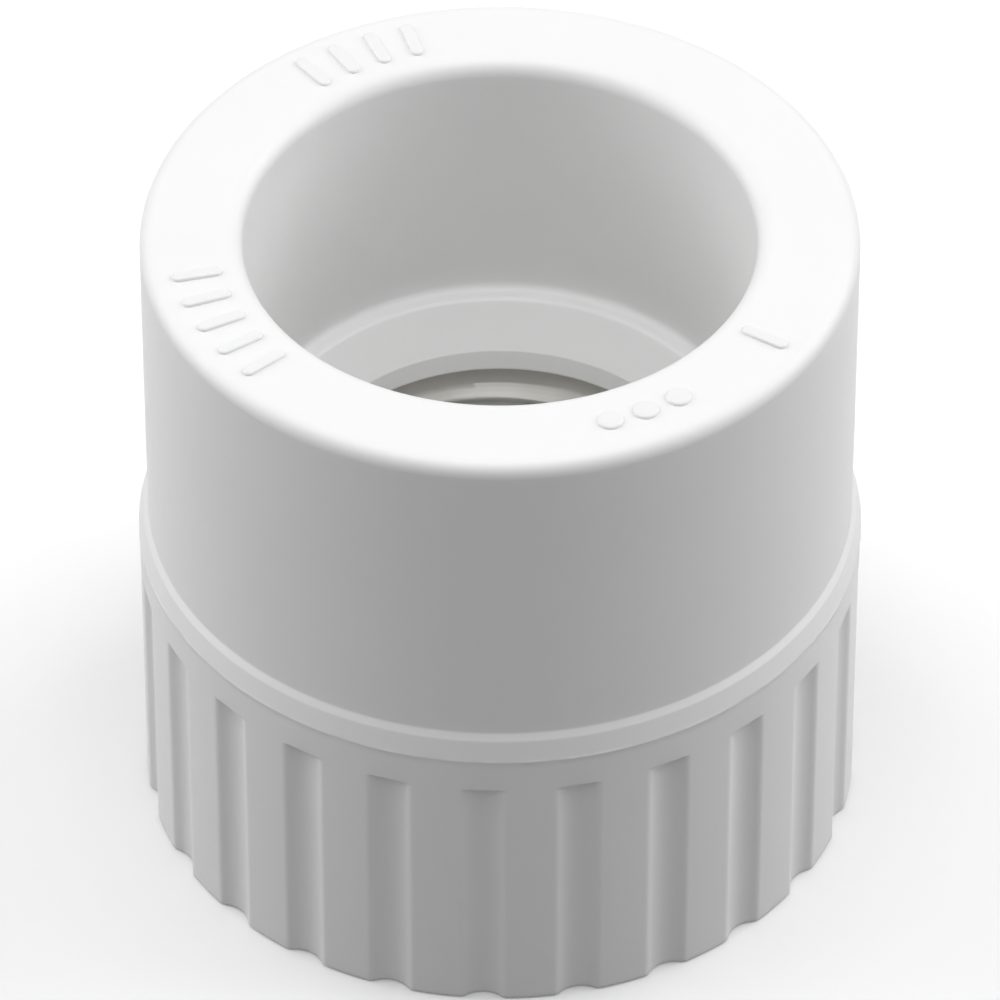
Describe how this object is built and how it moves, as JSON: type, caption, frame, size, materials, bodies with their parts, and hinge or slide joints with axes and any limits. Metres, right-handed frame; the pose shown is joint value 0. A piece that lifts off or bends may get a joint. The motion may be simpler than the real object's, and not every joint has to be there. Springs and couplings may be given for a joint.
{
  "type": "pipe adapter fitting",
  "caption": "White PP-R heat-fusion pipe adapter: smooth socket above, fluted collar below round a nickel-plated brass insert with internal pipe thread.",
  "frame": {"origin": "centre of the bottom face, at the open end of the internal thread", "axes": "+Z along the passage, from the threaded end up to the fusion socket's mouth; a flute's centre line lies on +X"},
  "size_m": [0.0448, 0.0448, 0.0434],
  "materials": {
    "white_ppr": "satin moulded polypropylene random copolymer",
    "nickel_plated_brass": "bright nickel plate on turned brass",
    "seal_rubber": "matt black EPDM"
  },
  "bodies": {
    "root": {"body": "white_ppr", "threaded_insert": "nickel_plated_brass", "upper_seal_ring": "seal_rubber", "lower_seal_ring": "seal_rubber"}
  },
  "joints": []
}
